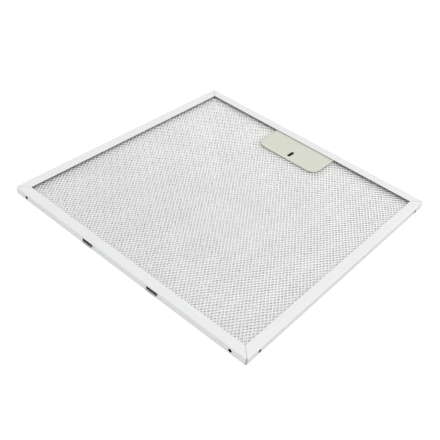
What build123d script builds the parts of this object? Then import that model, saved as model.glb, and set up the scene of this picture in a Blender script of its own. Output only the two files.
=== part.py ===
from build123d import *
import os

# Cooker hood grease filter: a channel frame round crossed layers of expanded aluminium,
# with a sprung latch in the middle of one side.
# Millimetres. The origin is the centre of the face that it lies on, +Z is up, and the latch
# is on the +Y side. "Depth" is always counted inwards from the outer face of a side.

# Frame
side = 320.0                 # outer length of each of the four sides
height = 8.5                 # overall thickness
sheet = 0.6                  # wall of the folded strip
lip = 11.6                   # width of the upper and lower lips
hem = 5.0                    # width of the lips' inner edge, folded back on itself
hem_round = 0.55             # rounding of that edge
fold_radius = 0.9            # outside radius of the long folds
corner_radius = 2.8          # outside radius of the three folded corners
closing_radius = 1.6         # outside radius where the ends of the strip meet
seam = 0.25                  # gap of the mitres and of the closing corner
drain_diameter = 4.0
drain_from_corner = 18.7

# Hook tabs, cut free of the web opposite to the latch and bent outwards
hook_width = 14.2
hook_level = 4.2             # upper face of a tab
hook_cut = 2.4               # height of the slot that a tab leaves in the web
hook_reach = 2.45            # how far a tab stands out of the web
hook_bend = 0.5              # rounding where a tab leaves the web
hook_from_middle = 45.0

# Angle that holds the closing corner
key_thickness = 0.8
key_fit = 0.1
key_to_drain = 2.2

# Mesh pack
edge_pocket = 5.0            # free channel between the frame's web and the edge of the pack
inner_layers = 5
layer_gap = 0.04
cell_short = 4.0             # short way of a diamond in the upper face, and pitch of its ridges
lower_pitch = 8.0            # pitch of the ridges in the lower face
face_depth = 0.8             # height of a face mesh over its ridges
face_foil = 0.3
crimp_pitch = 18.0           # pitch of the ridges in the inner layers
inner_foil = 0.12
rim_overlap = 3.5            # how far the rim stays hidden behind the edge of the lip
gap_cells = 2                # width of an opening in the upper face, counted in ridges
gap_long = 12.0
gap_columns = 8
gap_rows = 6
gap_border = 3.0             # wall kept between an opening and the rim or the latch

# Latch case
cover_thickness = 0.9
cover_drop = 0.5             # from the underside of the upper hem to the cover
cover_clear = 0.5            # from the cover down to the mesh
cover_corner = 12.0
cover_edge = 0.3             # chamfer of the free edges of cover and base
cover_beside = 8.5           # how far cover and base reach past the side walls
cover_behind = 3.6           # how far they reach past the rear wall
case_width = 69.0            # over the side walls
case_wall = 1.0
case_front = 12.0            # depth of the inner face of the front wall
case_fit = 0.5               # mesh to case, and cover or base to the frame's web
rail_width = 3.0
rail_to_wall = 2.0
boss_diameter = 5.0
boss_sink = 0.5              # how far a boss runs into the two walls of its corner
stud_diameter = 2.4
stud_fit = 0.05
stud_short = 0.5             # gap between the end of a stud and the floor

# Bolt, slide and springs
travel = 5.0
bolt_thickness = 1.5
bolt_body = 16.0             # from the shoulders to the rear edge
tongue_width = 40.0
tongue_reach = 3.5           # how far it stands out of the frame
tail_width = 14.0
tail_behind = 1.0            # from the lug to the end of the tail
running = 0.1                # clearance above and below what slides
side_running = 0.2
window_fit = 0.3             # clearance of the tongue and of the pad in their windows
stop_gap = 0.25              # left free at both ends of the travel
slot_depth = 34.6            # depth of the outer end of the cover's slot
lug_length = 6.4
lug_width = 3.4
lug_fit = 0.4
lug_recess = 0.6             # top of the lug below the cover's upper face
barb = 0.3
barb_height = 0.8
pad_width = 24.0
pad_length = 11.6
pad_corner = 1.5
pad_recess = 0.4             # face of the pad above the underside of the base
groove_count = 4
groove_length = 19.0
groove_width = 0.9
groove_deep = 0.6
spring_room = 0.25           # above and below a spring
spring_wire = 0.5
spring_turns = 3
spring_from_middle = 20.0
peg_length = 3.0
peg_fit = 0.15

same = 1e-3                  # lengths that differ by less count as equal

# Levels
mid = height / 2
lip_under = height - sheet
hem_under = height - 2 * sheet
hem_top = 2 * sheet
cover_top = hem_under - cover_drop
cover_under = cover_top - cover_thickness
mesh_top = cover_under - cover_clear
base_top = hem_top + cover_thickness
mesh_bottom = base_top + layer_gap
case_mid = (base_top + cover_under) / 2
bolt_under = case_mid - bolt_thickness / 2
bolt_top = case_mid + bolt_thickness / 2

# Plan sizes
edge = side / 2
web_inside = edge - sheet
opening_side = side - 2 * lip
pack_side = side - 2 * (sheet + edge_pocket)
rim_inside = opening_side + 2 * rim_overlap
face_ridges = round(pack_side / cell_short)
lower_ridges = round(pack_side / lower_pitch)
crimp_ridges = round(pack_side / crimp_pitch)
key_leg = drain_from_corner - drain_diameter / 2 - key_to_drain - sheet - key_fit
slot_length = lug_length + travel + 2 * stop_gap
slot_width = lug_width + 2 * lug_fit
lug_depth = slot_depth + stop_gap
lug_end = lug_depth + lug_length
tail_end = lug_end + tail_behind
bolt_rear = case_front + bolt_body
case_rear = tail_end + travel + stop_gap
case_outer_rear = case_rear + case_wall
case_outer_front = case_front - case_wall
cover_width = case_width + 2 * cover_beside
cover_depth = case_outer_rear + cover_behind
notch_width = case_width + 2 * case_fit
notch_depth = case_outer_rear + case_fit
tongue_gap = tongue_width + 2 * window_fit
pad_end = tail_end
pad_depth = pad_end - pad_length
rail_from_middle = case_width / 2 - case_wall - rail_to_wall - rail_width / 2
boss_from_middle = case_width / 2 - case_wall - boss_diameter / 2 + boss_sink
boss_depth = case_rear - boss_diameter / 2 + boss_sink
spring_diameter = cover_under - base_top - 2 * spring_room
peg_radius = spring_diameter / 2 - spring_wire - peg_fit


def at_depth(depth):
    """y of a point that lies so far inwards from the outer face of the latch side"""
    return edge - depth


def block(x0, x1, y0, y1, z0, z1):
    """box between two corners"""
    size = (abs(x1 - x0), abs(y1 - y0), abs(z1 - z0))
    return Pos((x0 + x1) / 2, (y0 + y1) / 2, (z0 + z1) / 2) * Box(*size)


def latch_block(width, depth0, depth1, z0, z1, x=0.0):
    """box on the latch side, centred on x, between two depths"""
    return block(x - width / 2, x + width / 2, at_depth(depth0), at_depth(depth1), z0, z1)


def closing_edge(plate):
    """upright edge at the corner where the ends of the strip meet, at +X and -Y"""
    return plate.edges().filter_by(Axis.Z).sort_by(lambda e: e.center().Y - e.center().X)[0]


def frame_blank():
    """solid plate with the outline of the folded strip, its long folds rounded"""
    plate = extrude(Rectangle(side, side), height)
    uprights = plate.edges().filter_by(Axis.Z)
    plate = fillet([e for e in uprights if e != closing_edge(plate)], corner_radius)
    plate = fillet(closing_edge(plate), closing_radius)
    return fillet(plate.faces().filter_by(Axis.Z).edges(), fold_radius)


def frame_cavity():
    """inside of the channel, out to the web"""
    inner = extrude(Rectangle(2 * web_inside, 2 * web_inside), height - 2 * sheet)
    uprights = inner.edges().filter_by(Axis.Z)
    inner = fillet([e for e in uprights if e != closing_edge(inner)], corner_radius - sheet)
    return Pos(0, 0, sheet) * inner


def mitre_cut(sign_x, sign_y, reach):
    """thin cut along the diagonal of a corner, through both lips, out to reach"""
    length = 2 ** 0.5 * (reach - opening_side / 2 + 1)
    centre = (reach + opening_side / 2 - 1) / 2
    turn = 45 if sign_x == sign_y else -45
    blade = Box(length, seam, 3 * height)
    return Pos(sign_x * centre, sign_y * centre, mid) * Rot(0, 0, turn) * blade


def drains():
    """round holes near both ends of each side"""
    cuts = []
    for turn in range(4):
        for place in (-1, 1):
            hole = Rot(90, 0, 0) * Cylinder(drain_diameter / 2, 6 * sheet)
            along = place * (edge - drain_from_corner)
            cuts.append(Rot(0, 0, 90 * turn) * Pos(along, edge - sheet / 2, mid) * hole)
    return cuts


def lip_hems():
    """inner edges of the upper and lower lips, folded back on themselves"""
    outer = opening_side + 2 * hem
    ring = Box(outer, outer, sheet) - Box(opening_side, opening_side, 2 * sheet)
    return [Pos(0, 0, level) * ring for level in (hem_top - sheet / 2, hem_under + sheet / 2)]


def round_hems(body):
    """soft inner edges of both lips"""
    edges = []
    for axis in (Axis.X, Axis.Y):
        inner = [f for f in body.faces().filter_by(axis) if abs(f.width - opening_side) < same]
        edges += [e for f in inner for e in f.edges() if abs(e.length - opening_side) < same]
    return fillet(edges, hem_round)


def hook_tab(x):
    """tab that stands out of the web below its slot, with the bend at its root"""
    x0 = x - hook_width / 2
    x1 = x + hook_width / 2
    tab = block(x0, x1, -edge - hook_reach, -edge + sheet, hook_level - sheet, hook_level)
    bend = tab.edges().filter_by(Axis.X).group_by(Axis.Y)[-1].sort_by(Axis.Z)[-1]
    return fillet(bend, hook_bend)


def hook_slot(x):
    """slot that a tab leaves in the web"""
    x0 = x - hook_width / 2
    x1 = x + hook_width / 2
    level = hook_level - hook_bend
    return block(x0, x1, -edge - sheet, -edge + 2 * sheet, level, hook_level + hook_cut)


def frame():
    """the folded strip: web and two lips on four sides, open at the closing corner"""
    body = frame_blank() - frame_cavity()
    body -= Pos(0, 0, mid) * Box(opening_side, opening_side, 2 * height)
    body = round_hems(body + lip_hems())
    folded = edge - corner_radius * (1 - 0.5 ** 0.5) - 2 * sheet
    for sign_x, sign_y in ((-1, -1), (-1, 1), (1, 1)):
        body -= mitre_cut(sign_x, sign_y, folded)
    body -= mitre_cut(1, -1, edge + sheet)
    body -= drains()
    for x in (-hook_from_middle, hook_from_middle):
        body = body - hook_slot(x) + hook_tab(x)
    body -= latch_block(tongue_gap, -sheet, 2 * sheet, bolt_under - window_fit, bolt_top + window_fit)
    return body


def corner_key():
    """angle that fills the channel behind the closing corner"""
    outer = web_inside - key_fit
    leg = outer - key_leg
    z0 = sheet + key_fit
    z1 = lip_under - key_fit
    solid = block(leg, outer, -outer, -outer + key_thickness, z0, z1)
    return solid + block(outer - key_thickness, outer, -outer, -leg, z0, z1)


def zigzag_sheet(width, length, pitch, ridges, depth, foil):
    """crimped sheet, ridges along Y, from z = 0 up to depth"""
    half = pitch / 2
    count = 2 * ridges
    start = -ridges * pitch / 2
    rise = depth - foil
    lower = [(start + i * half, rise * (i % 2)) for i in range(count + 1)]
    upper = [(x, z + foil) for x, z in reversed(lower)]
    profile = make_face(Polyline(*lower, *upper, close=True))
    sheet_solid = extrude(Plane.XZ * profile, length / 2, both=True)
    if ridges * pitch > width:
        sheet_solid &= Pos(0, 0, depth / 2) * Box(width, length, 3 * depth)
    return sheet_solid


def latch_notch(z0, z1):
    """room for the latch case in a layer"""
    return latch_block(notch_width, 0, notch_depth, z0, z1)


def rim(z0, z1):
    """folded edge of a face mesh, hidden in the channel"""
    ring = Box(pack_side, pack_side, z1 - z0) - Box(rim_inside, rim_inside, 2 * (z1 - z0))
    return Pos(0, 0, (z0 + z1) / 2) * ring


def gap_places():
    """centres of the openings in the upper face: two staggered grids, clear of the latch"""
    gap_short = gap_cells * cell_short
    column_cells = int(rim_inside / cell_short / (gap_columns + 0.5))
    step_x = column_cells * cell_short
    step_y = (rim_inside - gap_border) / (gap_rows + 0.35)
    first = GridLocations(step_x, step_y, gap_columns, gap_rows).locations
    second = GridLocations(step_x, step_y, gap_columns - 1, gap_rows - 1).locations
    clear_x = notch_width / 2 + gap_short / 2 + gap_border
    clear_y = at_depth(notch_depth) - gap_long / 2 - gap_border
    places = [p.position for p in first + second]
    return [p for p in places if abs(p.X) > clear_x or p.Y < clear_y]


def upper_face():
    """face mesh: ridges at the true pitch of the diamonds, a staggered set of openings, and a rim"""
    level = mesh_top - face_depth
    body = zigzag_sheet(pack_side, pack_side, cell_short, face_ridges, face_depth, face_foil)
    body = Pos(0, 0, level) * body
    half_short = gap_cells * cell_short / 2
    half_long = gap_long / 2
    outline = Polyline((half_short, 0), (0, half_long), (-half_short, 0), (0, -half_long), close=True)
    prism = extrude(make_face(outline), face_depth, both=True)
    body -= [Pos(p.X, p.Y, level + face_depth / 2) * prism for p in gap_places()]
    body += rim(level, hem_under - layer_gap)
    body -= latch_notch(0, height)
    body -= latch_block(cover_width + 2 * case_fit, 0, 2 * lip, mesh_top, height)
    return body


def lower_face():
    """face mesh of the underside, ridges and rim only"""
    body = zigzag_sheet(pack_side, pack_side, lower_pitch, lower_ridges, face_depth, face_foil)
    body = Pos(0, 0, mesh_bottom) * body
    body += rim(hem_top + layer_gap, mesh_bottom + face_depth)
    body -= latch_notch(0, height)
    body -= latch_block(cover_width + 2 * case_fit, 0, 2 * lip, 0, mesh_bottom)
    return body


def inner_layer(index):
    """crimped layer between the faces, each one turned across its neighbours"""
    space = mesh_top - mesh_bottom - 2 * face_depth
    depth = (space - (inner_layers + 1) * layer_gap) / inner_layers
    level = mesh_bottom + face_depth + layer_gap + index * (depth + layer_gap)
    body = zigzag_sheet(pack_side, pack_side, crimp_pitch, crimp_ridges, depth, inner_foil)
    if index % 2 == 0:
        body = Rot(0, 0, 90) * body
    return Pos(0, 0, level) * body - latch_notch(0, height)


def case_plate():
    """outline of cover and base: square under the lip, rounded at the free corners"""
    front = at_depth(sheet + case_fit)
    rear = at_depth(cover_depth)
    plate = block(-cover_width / 2, cover_width / 2, rear, front, 0, cover_thickness)
    free = plate.edges().filter_by(Axis.Z).group_by(Axis.Y)[0]
    return fillet(free, cover_corner)


def soften_free_edge(plate, level):
    """break the visible edge of a case plate at one level"""
    edges = plate.edges().filter_by(lambda e: abs(e.center().Z - level) < same)
    inner = [e for e in edges if e.center().Y < at_depth(sheet + case_fit) - same]
    return chamfer(inner, cover_edge)


def latch_cover():
    """upper half of the case, with the slot, two hold-down ribs and two studs"""
    plate = soften_free_edge(Pos(0, 0, cover_under) * case_plate(), cover_top)
    slot = extrude(SlotOverall(slot_length, slot_width, rotation=90), 2 * cover_thickness, both=True)
    plate -= Pos(0, at_depth(slot_depth + slot_length / 2), cover_top) * slot
    rib_rear = bolt_rear + travel
    stud = extrude(Circle(stud_diameter / 2), base_top + stud_short - cover_under)
    for place in (-1, 1):
        x = place * rail_from_middle
        plate += latch_block(case_wall, case_front, rib_rear, bolt_top + running, cover_under, x)
        plate += Pos(place * boss_from_middle, at_depth(boss_depth), cover_under) * stud
    return plate


def latch_base():
    """lower half of the case: floor with the pad's window, walls, rails, bosses and spring pegs"""
    body = soften_free_edge(Pos(0, 0, hem_top) * case_plate(), hem_top)
    walls = latch_block(case_width, case_outer_front, case_outer_rear, base_top, cover_under)
    walls -= latch_block(case_width - 2 * case_wall, case_front, case_rear, 0, height)
    walls -= latch_block(tongue_gap, 0, case_front + case_wall, bolt_under - window_fit, height)
    body += walls
    pad_window = pad_width + 2 * window_fit
    body -= latch_block(pad_window, pad_depth - window_fit, case_rear, 0, bolt_under)
    ring = Circle(boss_diameter / 2) - Circle(stud_diameter / 2 + stud_fit)
    boss = extrude(ring, cover_under - base_top)
    peg = Rot(90, 0, 0) * Cylinder(peg_radius, peg_length)
    rail_rear = boss_depth - boss_diameter
    for place in (-1, 1):
        rail_x = place * rail_from_middle
        body += latch_block(rail_width, case_front, rail_rear, base_top, bolt_under - running, rail_x)
        body += Pos(place * boss_from_middle, at_depth(boss_depth), base_top) * boss
        body += Pos(place * spring_from_middle, at_depth(case_rear - peg_length / 2), case_mid) * peg
    return body


def latch_bolt():
    """flat steel bolt: tongue, shoulders, spring pegs and a tail that carries the slide"""
    shoulder_width = case_width - 2 * case_wall - 2 * side_running
    lead = 0.7 * bolt_thickness
    body = latch_block(tongue_width, -tongue_reach, case_front, bolt_under, bolt_top)
    tip = body.edges().filter_by(Axis.X).group_by(Axis.Y)[-1].sort_by(Axis.Z)[-1]
    body = chamfer(tip, lead, 2 * lead)
    body += latch_block(shoulder_width, case_front, bolt_rear, bolt_under, bolt_top)
    body += latch_block(tail_width, bolt_rear, tail_end, bolt_under, bolt_top)
    hole = extrude(SlotOverall(lug_length, lug_width, rotation=90), 2 * bolt_thickness, both=True)
    body -= Pos(0, at_depth((lug_depth + lug_end) / 2), case_mid) * hole
    peg_width = 2 * (peg_radius ** 2 - (bolt_thickness / 2) ** 2) ** 0.5
    for place in (-1, 1):
        x = place * spring_from_middle
        body += latch_block(peg_width, bolt_rear, bolt_rear + peg_length, bolt_under, bolt_top, x)
    return body


def latch_slide():
    """finger pad under the bolt, with a barbed lug up through it into the cover's slot"""
    face = hem_top + pad_recess
    pad = latch_block(pad_width, pad_depth, pad_end, face, bolt_under)
    pad = fillet(pad.edges().filter_by(Axis.Z), pad_corner)
    step = pad_length / (groove_count + 1)
    for i in range(groove_count):
        near = pad_depth + step * (i + 1) - groove_width / 2
        pad -= latch_block(groove_length, near, near + groove_width, 0, face + groove_deep)
    lug = extrude(SlotOverall(lug_length, lug_width, rotation=90), cover_top - lug_recess - bolt_under)
    lug = Pos(0, at_depth((lug_depth + lug_end) / 2), bolt_under) * lug
    barb_width = lug_width + 2 * barb
    straight = lug_width / 2
    return pad + lug + latch_block(
        barb_width, lug_depth + straight, lug_end - straight, bolt_top, bolt_top + barb_height
    )


def latch_spring(place):
    """coil spring from the bolt's shoulder to the rear wall of the case"""
    length = case_rear - bolt_rear - spring_wire
    coil_radius = (spring_diameter - spring_wire) / 2
    coil = Helix(length / spring_turns, length, coil_radius)
    section = Plane(coil @ 0, z_dir=coil % 0) * RegularPolygon(spring_wire / 2, 4)
    wire = sweep(section, path=coil, is_frenet=True)
    start = at_depth(case_rear) + spring_wire / 2
    return Pos(place * spring_from_middle, start, case_mid) * Rot(-90, 0, 0) * wire


os.makedirs("parts", exist_ok=True)

nodes = {
    "frame": frame(),
    "corner_key": corner_key(),
    "upper_face_mesh": upper_face(),
    "lower_face_mesh": lower_face(),
    "latch_cover": latch_cover(),
    "latch_base": latch_base(),
    "latch_bolt": latch_bolt(),
    "latch_slide": latch_slide(),
    "latch_spring_left": latch_spring(-1),
    "latch_spring_right": latch_spring(1),
}
for index in range(inner_layers):
    nodes[f"inner_mesh_{index + 1}"] = inner_layer(index)

for name, shape in nodes.items():
    export_step(shape, f"parts/{name}.step")
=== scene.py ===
from math import radians

import bmesh
import bpy
from mathutils import Matrix, Quaternion, Vector, noise


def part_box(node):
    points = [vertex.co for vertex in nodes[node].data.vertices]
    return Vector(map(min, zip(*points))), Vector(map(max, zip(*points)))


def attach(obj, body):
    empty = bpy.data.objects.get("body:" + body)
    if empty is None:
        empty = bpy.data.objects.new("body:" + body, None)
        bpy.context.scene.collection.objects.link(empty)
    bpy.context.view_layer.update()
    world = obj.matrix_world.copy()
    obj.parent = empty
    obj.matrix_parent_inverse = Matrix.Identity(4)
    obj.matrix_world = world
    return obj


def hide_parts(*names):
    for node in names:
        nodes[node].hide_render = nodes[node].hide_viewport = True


# Cooker hood grease filter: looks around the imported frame. +Z up, latch on the +Y side.
# The mesh layers are sized in millimetres, the finishes and the studio in metres.
mm = 0.001
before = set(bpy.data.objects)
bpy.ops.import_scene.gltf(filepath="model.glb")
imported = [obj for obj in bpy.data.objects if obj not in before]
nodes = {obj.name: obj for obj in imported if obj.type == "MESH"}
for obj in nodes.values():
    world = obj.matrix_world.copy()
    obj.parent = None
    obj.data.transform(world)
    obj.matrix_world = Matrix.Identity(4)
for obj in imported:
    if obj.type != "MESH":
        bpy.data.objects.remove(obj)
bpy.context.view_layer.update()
scene = bpy.context.scene
print("frame loaded,", len(nodes), "nodes")


# Small helpers for node trees
def plug(tree, node, inputs):  # each input is a value, or an output socket to link
    for key, value in inputs.items():
        if isinstance(value, bpy.types.NodeSocket):
            tree.links.new(value, node.inputs[key])
        else:
            node.inputs[key].default_value = value


def addNode(tree, kind, inputs=None, **settings):  # inputs by name, or by number where names repeat
    node = tree.nodes.new(kind)
    for key, value in settings.items():
        setattr(node, key, value)
    plug(tree, node, inputs or {})
    return node


def newTree(name, shader="ShaderNodeBsdfPrincipled"):
    material = bpy.data.materials.new(name)
    material.use_nodes = True
    tree = material.node_tree
    tree.nodes.clear()
    surface = addNode(tree, shader)
    addNode(tree, "ShaderNodeOutputMaterial", {"Surface": surface.outputs[0]})
    return material, tree, surface


def calc(tree, operation, *values):  # one step of arithmetic on numbers or output sockets
    return addNode(tree, "ShaderNodeMath", dict(enumerate(values)), operation=operation).outputs[0]


def average(tree, first, second):
    return calc(tree, "MULTIPLY", calc(tree, "ADD", first, second), 0.5)


def allOf(tree, *masks):  # 1 where every mask is 1
    joined = masks[0]
    for mask in masks[1:]:
        joined = calc(tree, "MULTIPLY", joined, mask)
    return joined


def between(tree, value, low, high):  # 1 from low to high, 0 elsewhere
    return allOf(tree, calc(tree, "GREATER_THAN", value, low), calc(tree, "LESS_THAN", value, high))


def ramp(tree, value, start, end, low=0.0, high=1.0):  # low at start, high at end, level past them
    return addNode(tree, "ShaderNodeMapRange", {0: value, 1: start, 2: end, 3: low, 4: high}).outputs[0]


noiseReach = (0.3, 0.7)  # where most values of a noise texture lie


def spread(tree, value, low=0.0, high=1.0):  # noise spread over low to high
    return ramp(tree, value, *noiseReach, low, high)


def placeOn(tree):  # the place on the piece, whole and as x, y and z
    place = addNode(tree, "ShaderNodeTexCoord").outputs["Object"]
    return place, *addNode(tree, "ShaderNodeSeparateXYZ", {0: place}).outputs


def grain(tree, place, scale, detail=3.0):  # noise, scale in features per metre along x, y and z
    stretched = addNode(tree, "ShaderNodeMapping", {0: place, "Scale": scale}).outputs[0]
    return addNode(tree, "ShaderNodeTexNoise",
                   {0: stretched, "Scale": 1.0, "Detail": detail, "Roughness": 0.55}).outputs[0]


colourSockets = dict(factor=0, first=6, second=7, result=2)  # of a Mix node that is set to RGBA


def mixColours(tree, factor, first, second, blend="MIX"):
    inputs = {colourSockets["factor"]: factor, colourSockets["first"]: first, colourSockets["second"]: second}
    mixed = addNode(tree, "ShaderNodeMix", inputs, data_type="RGBA", blend_type=blend)
    return mixed.outputs[colourSockets["result"]]


def toneBetween(tree, factor, first, second):
    return mixColours(tree, factor, (*first, 1), (*second, 1))


def shaded(tree, tone, mask, shade):  # painted shade: darker where the mask is 1
    return mixColours(tree, mask, tone, (shade, shade, shade, 1), blend="MULTIPLY")


def relief(tree, surface, height, look):
    bump = addNode(tree, "ShaderNodeBump",
                   {"Strength": look["bump"], "Distance": look["bumpDeep"], "Height": height})
    plug(tree, surface, {"Normal": bump.outputs[0]})


# Finishes: places and depths in metres, grains in features per metre
rolledStrip = dict(
    toneLow=(0.805, 0.81, 0.815),
    toneHigh=(0.86, 0.865, 0.87),
    metallic=0.85,
    roughLow=0.34,
    roughHigh=0.50,
    alongStrip=6,
    acrossStrip=700,
    cloudGrain=(14, 14, 14),
    bump=0.5,
    bumpDeep=0.00004,
    channel=(0.150, 0.15945),        # painted shade inside the channel, from the hems to the web
    channelLevels=(0.0005, 0.0080),
    cutWeb=(0.15945, 0.15995),       # painted shade on the cut edges of the slots and drain holes
    cutLevels=(0.0010, 0.0075),
    mitreFree=0.004,                 # both are kept clear of the mitres
    # painted shade inside the channel and on the cut edges, on the near sides only
    insidePaintedShade=0.10,
    tabFrom=0.1604,                  # painted shade on the drawn face of the two hook tabs
    tabPaintedShade=0.86,
    closingFrom=0.1583,              # painted shade on the upright edge where the strip's ends meet
    closingPaintedShade=0.72,
)


def rolledStripAluminium():  # rolling lines run along each side of the folded strip
    look = rolledStrip
    material, tree, surface = newTree("rolledStripAluminium")
    place, x, y, z = placeOn(tree)
    absX, absY = calc(tree, "ABSOLUTE", x), calc(tree, "ABSOLUTE", y)
    along, across = look["alongStrip"], look["acrossStrip"]
    onSides = calc(tree, "GREATER_THAN", absX, absY)  # 1 on the left and right sides of the frame
    linesX = grain(tree, place, (along, across, across))
    linesY = grain(tree, place, (across, along, across))
    lines = addNode(tree, "ShaderNodeMix", {0: onSides, 2: linesX, 3: linesY}).outputs[0]
    cloud = grain(tree, place, look["cloudGrain"])
    tone = toneBetween(tree, spread(tree, average(tree, lines, cloud)), look["toneLow"], look["toneHigh"])

    outward = calc(tree, "MAXIMUM", absX, absY)
    channel = allOf(tree, between(tree, outward, *look["channel"]),
                    between(tree, z, *look["channelLevels"]))
    cuts = allOf(tree, between(tree, outward, *look["cutWeb"]), between(tree, z, *look["cutLevels"]))
    fromMitre = calc(tree, "ABSOLUTE", calc(tree, "SUBTRACT", absX, absY))
    offMitre = calc(tree, "GREATER_THAN", fromMitre, look["mitreFree"])
    towardNear = calc(tree, "MAXIMUM", x, calc(tree, "MULTIPLY", y, -1.0))  # the +X and -Y sides
    onNearSides = calc(tree, "GREATER_THAN", towardNear, look["channel"][0])
    # painted shade: the channel and the cut edges on the near sides are darkened
    inside = allOf(tree, calc(tree, "MAXIMUM", channel, cuts), offMitre, onNearSides)
    onTab = calc(tree, "LESS_THAN", y, -look["tabFrom"])
    atClosing = allOf(tree, calc(tree, "GREATER_THAN", x, look["closingFrom"]),
                      calc(tree, "LESS_THAN", y, -look["closingFrom"]))
    # painted shade on the channel, the hook tabs and the strip's closing edge
    for mask, shade in ((inside, "insidePaintedShade"), (onTab, "tabPaintedShade"), (atClosing, "closingPaintedShade")):
        tone = shaded(tree, tone, mask, look[shade])

    plug(tree, surface, {"Base Color": tone, "Metallic": look["metallic"],
                         "Roughness": spread(tree, lines, look["roughLow"], look["roughHigh"])})
    relief(tree, surface, lines, look)
    return material


slitFoil = dict(
    toneLow=(0.875, 0.875, 0.87),
    toneHigh=(0.98, 0.98, 0.975),
    metallic=0.7,
    dimMetallic=0.4,            # where the foil lies in shade
    roughLow=0.26,
    roughHigh=0.48,
    strandGrain=(420, 420, 900),
    cloudGrain=(22, 22, 22),
    skinGrain=(2600, 2600, 2600),
    bump=0.4,
    bumpDeep=0.00003,
    rimFrom=0.138,              # in the shade of the two far lips
    rimTo=0.148,
    coverHalf=0.0430,           # and in that of the latch cover
    coverFront=0.1085,
    coverReach=0.007,
    meshEnd=0.15,               # the mesh runs from here at the latch to minus this at the hooks
)


def slitFoilAluminium(name, shade=1.0, dimShade=1.0, hookSidePaintedShade=1.0):  # bright foil, no strand alike
    look = slitFoil
    material, tree, surface = newTree(name)
    place, x, y = placeOn(tree)[:3]
    strands = grain(tree, place, look["strandGrain"])
    cloud = grain(tree, place, look["cloudGrain"])
    # painted shade: a shade below 1 gives a darker copy of the foil for the layers beneath
    low, high = (tuple(c * shade for c in look[end]) for end in ("toneLow", "toneHigh"))
    tone = toneBetween(tree, spread(tree, average(tree, strands, cloud)), low, high)

    towardFar = calc(tree, "MAXIMUM", calc(tree, "MULTIPLY", x, -1.0), y)  # the -X and +Y sides
    nearRim = ramp(tree, towardFar, look["rimFrom"], look["rimTo"])
    beside = calc(tree, "SUBTRACT", calc(tree, "ABSOLUTE", x), look["coverHalf"])
    before = calc(tree, "SUBTRACT", look["coverFront"], y)
    fromCover = calc(tree, "MAXIMUM", beside, before)  # how far out of the latch cover's outline
    nearCover = ramp(tree, fromCover, 0.0, look["coverReach"], 1.0, 0.0)
    dim = calc(tree, "MAXIMUM", nearRim, nearCover)
    # painted shade: the foil grows darker towards the hook side
    towardHooks = ramp(tree, y, look["meshEnd"], -look["meshEnd"])
    tone = shaded(tree, shaded(tree, tone, dim, dimShade), towardHooks, hookSidePaintedShade)

    plug(tree, surface, {"Base Color": tone,
                         "Metallic": ramp(tree, dim, 0.0, 1.0, look["metallic"], look["dimMetallic"]),
                         "Roughness": spread(tree, strands, look["roughLow"], look["roughHigh"])})
    relief(tree, surface, grain(tree, place, look["skinGrain"]), look)
    return material


mouldedSkin = dict(
    flowGrain=(60, 90, 60),          # how the melt ran
    sparkGrain=(3200, 3200, 3200),   # fine skin of a spark-eroded mould
    sparkDetail=2.0,
    bump=0.35,
    bumpDeep=0.00003,
)
creamPlastic = dict(name="creamLatchPlastic", toneLow=(0.690, 0.700, 0.600), toneHigh=(0.715, 0.725, 0.625),
                    roughLow=0.42, roughHigh=0.58, shine=0.5)
blackPlastic = dict(name="blackSlidePlastic", toneLow=(0.005, 0.005, 0.006), toneHigh=(0.009, 0.009, 0.010),
                    roughLow=0.45, roughHigh=0.60, shine=0.1)


def mouldedPlastic(name, toneLow, toneHigh, roughLow, roughHigh, shine):
    material, tree, surface = newTree(name)
    place = placeOn(tree)[0]
    flow = grain(tree, place, mouldedSkin["flowGrain"])
    skin = grain(tree, place, mouldedSkin["sparkGrain"], mouldedSkin["sparkDetail"])
    plug(tree, surface, {"Base Color": toneBetween(tree, spread(tree, flow), toneLow, toneHigh),
                         "Roughness": spread(tree, skin, roughLow, roughHigh),
                         "Specular IOR Level": shine})
    relief(tree, surface, skin, mouldedSkin)
    return material


hardwareSkin = dict(
    crystalScale=900.0,              # fine crystals of a plated or drawn surface
    cloudGrain=(160, 500, 160),
    metallic=1.0,
    bump=0.25,
    bumpDeep=0.00002,
)
# painted shade: the bolt is near black so that the latch slot above it shows dark
slotShadeBoltSteel = dict(name="nearBlackBoltSteel", toneLow=(0.014, 0.014, 0.015), toneHigh=(0.024, 0.024, 0.025),
                 roughLow=0.34, roughHigh=0.48)
springWire = dict(name="drawnSpringWire", toneLow=(0.42, 0.42, 0.42), toneHigh=(0.52, 0.52, 0.51),
                  roughLow=0.24, roughHigh=0.36)
keyAluminium = dict(name="cutKeyAluminium", toneLow=(0.66, 0.66, 0.67), toneHigh=(0.74, 0.74, 0.75),
                    roughLow=0.36, roughHigh=0.50)


def hardwareMetal(name, toneLow, toneHigh, roughLow, roughHigh):
    material, tree, surface = newTree(name)
    place = placeOn(tree)[0]
    crystals = addNode(tree, "ShaderNodeTexVoronoi", {0: place, "Scale": hardwareSkin["crystalScale"]})
    cloud = grain(tree, place, hardwareSkin["cloudGrain"])
    plug(tree, surface, {"Base Color": toneBetween(tree, spread(tree, cloud), toneLow, toneHigh),
                         "Metallic": hardwareSkin["metallic"],
                         "Roughness": spread(tree, cloud, roughLow, roughHigh)})
    relief(tree, surface, crystals.outputs["Distance"], hardwareSkin)
    return material


# painted shade: the face foil is darker towards the hooks
faceFoilFinish = slitFoilAluminium("slitFoilAluminium", hookSidePaintedShade=0.865)
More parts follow.
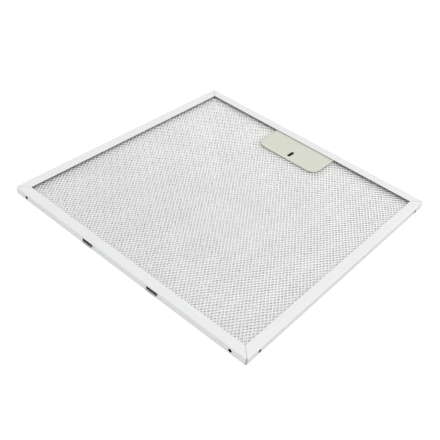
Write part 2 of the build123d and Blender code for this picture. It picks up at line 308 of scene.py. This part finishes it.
# painted shade: the inner layers are darker copies of the face foil
crossedFoilFinish = slitFoilAluminium("innerSlitFoil", shade=0.99, dimShade=0.80)
deepFoilFinish = slitFoilAluminium("deepSlitFoil", shade=0.94, dimShade=0.40)  # between the crossed ones, a darker copy as painted shade
creamFinish = mouldedPlastic(**creamPlastic)
springFinish = hardwareMetal(**springWire)
carriedFinishes = {
    "frame": rolledStripAluminium(),
    "corner_key": hardwareMetal(**keyAluminium),
    "latch_cover": creamFinish,
    "latch_base": creamFinish,
    "latch_slide": mouldedPlastic(**blackPlastic),
    "latch_bolt": hardwareMetal(**slotShadeBoltSteel),
    "latch_spring_left": springFinish,
    "latch_spring_right": springFinish,
}
innerLayers = 5
for index in range(1, innerLayers + 1):
    carriedFinishes[f"inner_mesh_{index}"] = deepFoilFinish
print("finishes made")

for nodeName, finish in carriedFinishes.items():
    materials = nodes[nodeName].data.materials
    materials.clear()
    materials.append(finish)
print("carried pieces dressed")


# Expanded metal: a lattice of small tilted knuckles joined by strands, as a slit and drawn foil has
faceFoil = dict(
    finish=faceFoilFinish,
    turned=False,
    short=4.02,              # from diamond to diamond, the short way and the long way
    long=5.85,
    knuckle=(0.70, 0.85),
    tilt=24,                 # degrees
    foil=0.22,
)
crossedFoil = dict(
    finish=crossedFoilFinish,
    turned=True,             # a quarter turn, so its diamonds cross those of the face
    short=3.76,
    long=6.0,
    knuckle=(0.62, 0.80),
    tilt=18,
    foil=0.16,
)
expandedLayers = {           # level: how high the middle of the sheet lies
    "upperFaceMesh": dict(faceFoil, node="upper_face_mesh", level=5.0, shift=1.0),
    "crossedMeshUpper": dict(crossedFoil, node="inner_mesh_5", level=4.25, shift=2.0),
    "crossedMeshLower": dict(crossedFoil, node="inner_mesh_1", level=3.2, shift=3.0),
    "lowerFaceMesh": dict(faceFoil, node="lower_face_mesh", level=2.6, shift=4.0),
}
drawing = dict(uneven=0.10, waves=260, seed=1)             # millimetres, and waves per metre
latchRoom = dict(width=70.0, depth=49.0)                   # cut out of every layer for the latch case
mergeReach = 1e-6  # metres
cutReach = 1e-7
noise.seed_set(drawing["seed"])  # without it, noise_vector differs from run to run


def everything(bm):
    return bm.verts[:] + bm.edges[:] + bm.faces[:]


def knuckle(bm, centre, size, tilt):  # returns its corners as north, east, south, west
    made = bmesh.ops.create_circle(bm, cap_ends=True, segments=4, radius=1.0)["verts"]
    bmesh.ops.scale(bm, verts=made, vec=(size[0] * mm, size[1] * mm, 1))
    bmesh.ops.rotate(bm, verts=made, cent=(0, 0, 0), matrix=Matrix.Rotation(radians(tilt), 3, "Y"))
    north = max(made, key=lambda v: v.co.y)
    south = min(made, key=lambda v: v.co.y)
    east = max(made, key=lambda v: v.co.x)
    west = min(made, key=lambda v: v.co.x)
    bmesh.ops.translate(bm, verts=made, vec=centre)
    return north, east, south, west


def edgeOf(first, second):
    return next(e for e in first.link_edges if e.other_vert(first) is second)


def strand(bm, firstPair, secondPair):  # foil from one edge of a knuckle to an edge of the next
    bmesh.ops.bridge_loops(bm, edges=[edgeOf(*firstPair), edgeOf(*secondPair)])


def meshCell(bm, layer):  # two knuckles and four strands, the smallest part that repeats
    halfShort, halfLong = layer["short"] * mm / 2, layer["long"] * mm / 2
    spots = [(0, 0), (1, 1), (-1, 1), (2, 2), (0, 2)]
    k = [knuckle(bm, (x * halfShort, y * halfLong, 0), layer["knuckle"], layer["tilt"]) for x, y in spots]
    north, east, south, west = range(4)
    neighbours = [f for corners in k[2:] for f in corners[0].link_faces]  # only their edges are needed
    bmesh.ops.delete(bm, geom=neighbours, context="FACES_ONLY")
    strand(bm, (k[0][north], k[0][east]), (k[1][west], k[1][south]))
    strand(bm, (k[0][west], k[0][north]), (k[2][south], k[2][east]))
    strand(bm, (k[1][north], k[1][east]), (k[3][west], k[3][south]))
    strand(bm, (k[1][west], k[1][north]), (k[4][south], k[4][east]))


def repeat(bm, count, step):  # all that is there so far, count times in a row
    pattern = everything(bm)
    for place in range(1, count):
        copied = bmesh.ops.duplicate(bm, geom=pattern)["geom"]
        moved = [g for g in copied if isinstance(g, bmesh.types.BMVert)]
        bmesh.ops.translate(bm, verts=moved, vec=Vector(step) * place)


def lattice(bm, layer, half):  # knuckles and strands a little past the frame's mesh, round the middle
    shortStep, longStep = layer["short"] * mm, layer["long"] * mm
    columns, rows = int(2 * half / shortStep) + 2, int(2 * half / longStep) + 2
    meshCell(bm, layer)
    repeat(bm, columns, (shortStep, 0, 0))
    repeat(bm, rows, (0, longStep, 0))
    bmesh.ops.translate(bm, verts=bm.verts[:], vec=(-columns * shortStep / 2, -rows * longStep / 2, 0))
    bmesh.ops.remove_doubles(bm, verts=bm.verts[:], dist=mergeReach)
    if layer["turned"]:
        bmesh.ops.rotate(bm, verts=bm.verts[:], cent=(0, 0, 0), matrix=Matrix.Rotation(radians(90), 3, "Z"))
    shift = Vector((layer["shift"], 0, 0))  # each layer is uneven in its own way
    for v in bm.verts:  # no two diamonds of drawn foil are quite alike
        v.co += noise.noise_vector(v.co * drawing["waves"] + shift) * drawing["uneven"] * mm


def cut(bm, point, normal, clear):
    bmesh.ops.bisect_plane(bm, geom=everything(bm), dist=cutReach, plane_co=point, plane_no=normal,
                           clear_outer=clear)


def trim(bm, half):  # square, with the room for the latch cut out
    for normal in ((1, 0, 0), (-1, 0, 0), (0, 1, 0), (0, -1, 0)):
        cut(bm, Vector(normal) * half, normal, clear=True)
    roomHalf = latchRoom["width"] * mm / 2
    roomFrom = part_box("frame")[1].x - latchRoom["depth"] * mm  # in from the outside of the square frame
    cut(bm, (roomHalf, 0, 0), (1, 0, 0), clear=False)
    cut(bm, (-roomHalf, 0, 0), (1, 0, 0), clear=False)
    cut(bm, (0, roomFrom, 0), (0, 1, 0), clear=False)
    middles = [(f, f.calc_center_median()) for f in bm.faces]
    inRoom = [f for f, middle in middles if abs(middle.x) < roomHalf and middle.y > roomFrom]
    bmesh.ops.delete(bm, geom=inRoom, context="FACES")
    bmesh.ops.delete(bm, geom=[e for e in bm.edges if e.is_wire], context="EDGES")
    bmesh.ops.delete(bm, geom=[v for v in bm.verts if not v.link_faces], context="VERTS")


def expandedSheet(name, layer):
    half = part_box(layer["node"])[1].x
    bm = bmesh.new()
    lattice(bm, layer, half)
    trim(bm, half)
    bmesh.ops.recalc_face_normals(bm, faces=bm.faces[:])
    bmesh.ops.solidify(bm, geom=bm.faces[:], thickness=layer["foil"] * mm)
    heights = [v.co.z for v in bm.verts]
    middle = (max(heights) + min(heights)) / 2
    bmesh.ops.translate(bm, verts=bm.verts[:], vec=(0, 0, layer["level"] * mm - middle))
    print(name, "faces", len(bm.faces), "height", round((max(heights) - min(heights)) / mm, 3),
          "volume", bm.calc_volume(signed=True))
    mesh = bpy.data.meshes.new(name)
    bm.to_mesh(mesh)
    bm.free()
    piece = bpy.data.objects.new(name, mesh)
    scene.collection.objects.link(piece)
    piece.data.materials.append(layer["finish"])
    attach(piece, "filter")
    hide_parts(layer["node"])


for name, layer in expandedLayers.items():
    expandedSheet(name, layer)
print("expanded layers made")


# Studio
studio = dict(
    cameraPlace=(0.3482, -0.4840, 0.4738),
    cameraAim=(0.0237, -0.0388, 0.0085),
    cameraRoll=7.66,       # degrees
    lens=56.25,            # millimetres, as is the sensor
    sensor=36,
    skyLight=0.92,         # what the world gives to matt surfaces
    skyShown=1.0,          # how bright it shows, also in reflections
    floorHalf=6,
    floorTone=0.35,
    floorShine=0.80,       # how bright the floor shows to the camera
    floorGlossy=0.595,     # and in reflections
)
softboxes = [
    dict(name="keySoftbox", place=(0.8, 1.0, 1.4), size=2.2, power=3.0),
]
white = (1, 1, 1, 1)


def aim(thing, place, target, roll=0.0):
    turn = (Vector(target) - Vector(place)).to_track_quat("-Z", "Y")
    scene.collection.objects.link(thing)
    thing.location = place
    thing.rotation_mode = "QUATERNION"
    thing.rotation_quaternion = turn @ Quaternion((0, 0, 1), radians(roll))


def addCamera():
    data = bpy.data.cameras.new("photoCamera")
    data.lens = studio["lens"]
    data.sensor_width = studio["sensor"]
    camera = bpy.data.objects.new("photoCamera", data)
    aim(camera, studio["cameraPlace"], studio["cameraAim"], studio["cameraRoll"])
    scene.camera = camera


def addSoftbox(name, place, size, power):
    data = bpy.data.lights.new(name, "AREA")
    data.shape = "DISK"
    data.size = size
    data.energy = power
    aim(bpy.data.objects.new(name, data), place, target=(0, 0, 0))


def addWorld():
    world = bpy.data.worlds.new("paleStudio")
    world.use_nodes = True
    scene.world = world
    tree = world.node_tree
    tree.nodes.clear()
    ray = addNode(tree, "ShaderNodeLightPath").outputs
    seen = calc(tree, "MAXIMUM", ray["Is Camera Ray"], ray["Is Glossy Ray"])
    seen = calc(tree, "MAXIMUM", seen, ray["Is Transmission Ray"])
    light = addNode(tree, "ShaderNodeBackground", {"Color": white, "Strength": studio["skyLight"]})
    shown = addNode(tree, "ShaderNodeBackground", {"Color": white, "Strength": studio["skyShown"]})
    either = addNode(tree, "ShaderNodeMixShader", {0: seen, 1: light.outputs[0], 2: shown.outputs[0]})
    addNode(tree, "ShaderNodeOutputWorld", {0: either.outputs[0]})


def floorFinish():  # glows by what looks at it, and is clear from below
    material, tree, oneSided = newTree("paleFloor", "ShaderNodeMixShader")
    ray = addNode(tree, "ShaderNodeLightPath").outputs
    forGlossy = calc(tree, "MULTIPLY", ray["Is Glossy Ray"], studio["floorGlossy"])
    straight = calc(tree, "ADD", ray["Is Camera Ray"], ray["Is Transmission Ray"])
    forCamera = calc(tree, "MULTIPLY", straight, studio["floorShine"])
    tone = studio["floorTone"]
    matt = addNode(tree, "ShaderNodeBsdfDiffuse", {"Color": (tone, tone, tone, 1)})
    glow = addNode(tree, "ShaderNodeEmission", {"Strength": calc(tree, "ADD", forGlossy, forCamera)})
    both = addNode(tree, "ShaderNodeAddShader", {0: matt.outputs[0], 1: glow.outputs[0]})
    under = addNode(tree, "ShaderNodeNewGeometry").outputs["Backfacing"]
    clear = addNode(tree, "ShaderNodeBsdfTransparent")
    plug(tree, oneSided, {0: under, 1: both.outputs[0], 2: clear.outputs[0]})
    return material


def addFloor():
    bm = bmesh.new()
    bmesh.ops.create_grid(bm, x_segments=1, y_segments=1, size=studio["floorHalf"])
    mesh = bpy.data.meshes.new("paleFloor")
    bm.to_mesh(mesh)
    bm.free()
    mesh.materials.append(floorFinish())
    floor = bpy.data.objects.new("paleFloor", mesh)
    scene.collection.objects.link(floor)


addCamera()
addWorld()
addFloor()
for softbox in softboxes:
    addSoftbox(**softbox)
scene.view_settings.view_transform = "Standard"
print("studio set")
